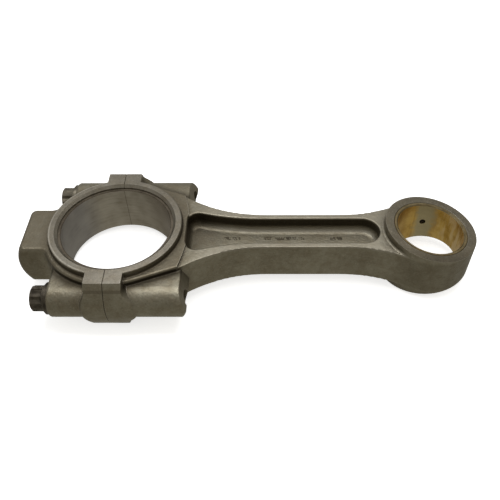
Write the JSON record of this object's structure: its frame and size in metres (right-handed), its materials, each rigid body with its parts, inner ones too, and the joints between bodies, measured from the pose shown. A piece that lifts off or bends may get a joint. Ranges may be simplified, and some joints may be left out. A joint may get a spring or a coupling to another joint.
{
  "type": "connecting rod",
  "caption": "Forged I-section connecting rod with a bolted bearing cap, split big-end bearing and a bushed, tapered small end.",
  "frame": {"origin": "centre of the big-end bore, at mid-width and in the plane where rod and cap part", "axes": "+X from the big end towards the small end, +Z along both bores, +Y across the rod"},
  "size_m": [0.3781, 0.1474, 0.05],
  "materials": {
    "forged_steel": "satin",
    "shell_lining": "satin",
    "bush_bronze": "satin",
    "black_steel": "matte",
    "pin_steel": "satin"
  },
  "bodies": {
    "rod": {"rod_forging": "forged_steel", "small_end_bush": "bush_bronze", "upper_bearing_shell": "shell_lining", "dowel_near": "pin_steel", "dowel_far": "pin_steel"},
    "cap": {"bearing_cap": "forged_steel", "lower_bearing_shell": "shell_lining"},
    "washer_near": {"bolt_washer_near": "black_steel"},
    "washer_far": {"bolt_washer_far": "black_steel"},
    "bolt_near": {"cap_bolt_near": "black_steel"},
    "bolt_far": {"cap_bolt_far": "black_steel"}
  },
  "joints": [
    {"name": "cap_pull", "type": "slide", "parent": "rod", "child": "cap", "axis": [-1, 0, 0], "range_m": [0, 0.12]},
    {"name": "washer_turn_near", "type": "hinge", "parent": "cap", "child": "washer_near", "pos_m": [-0.0475, -0.0577, 0], "axis": [-1, 0, 0], "range_deg": [0, 7200]},
    {"name": "washer_turn_far", "type": "hinge", "parent": "cap", "child": "washer_far", "pos_m": [-0.0475, 0.0577, 0], "axis": [-1, 0, 0], "range_deg": [0, 7200]},
    {"name": "bolt_screw_near", "type": "slide", "parent": "washer_near", "child": "bolt_near", "axis": [-1, 0, 0], "range_m": [0, 0.03]},
    {"name": "bolt_screw_far", "type": "slide", "parent": "washer_far", "child": "bolt_far", "axis": [-1, 0, 0], "range_m": [0, 0.03]}
  ],
  "couplings": [
    {"joint": "washer_turn_near", "follows": "bolt_screw_near", "rad_per_m": 4188.8},
    {"joint": "washer_turn_far", "follows": "bolt_screw_far", "rad_per_m": 4188.8}
  ]
}
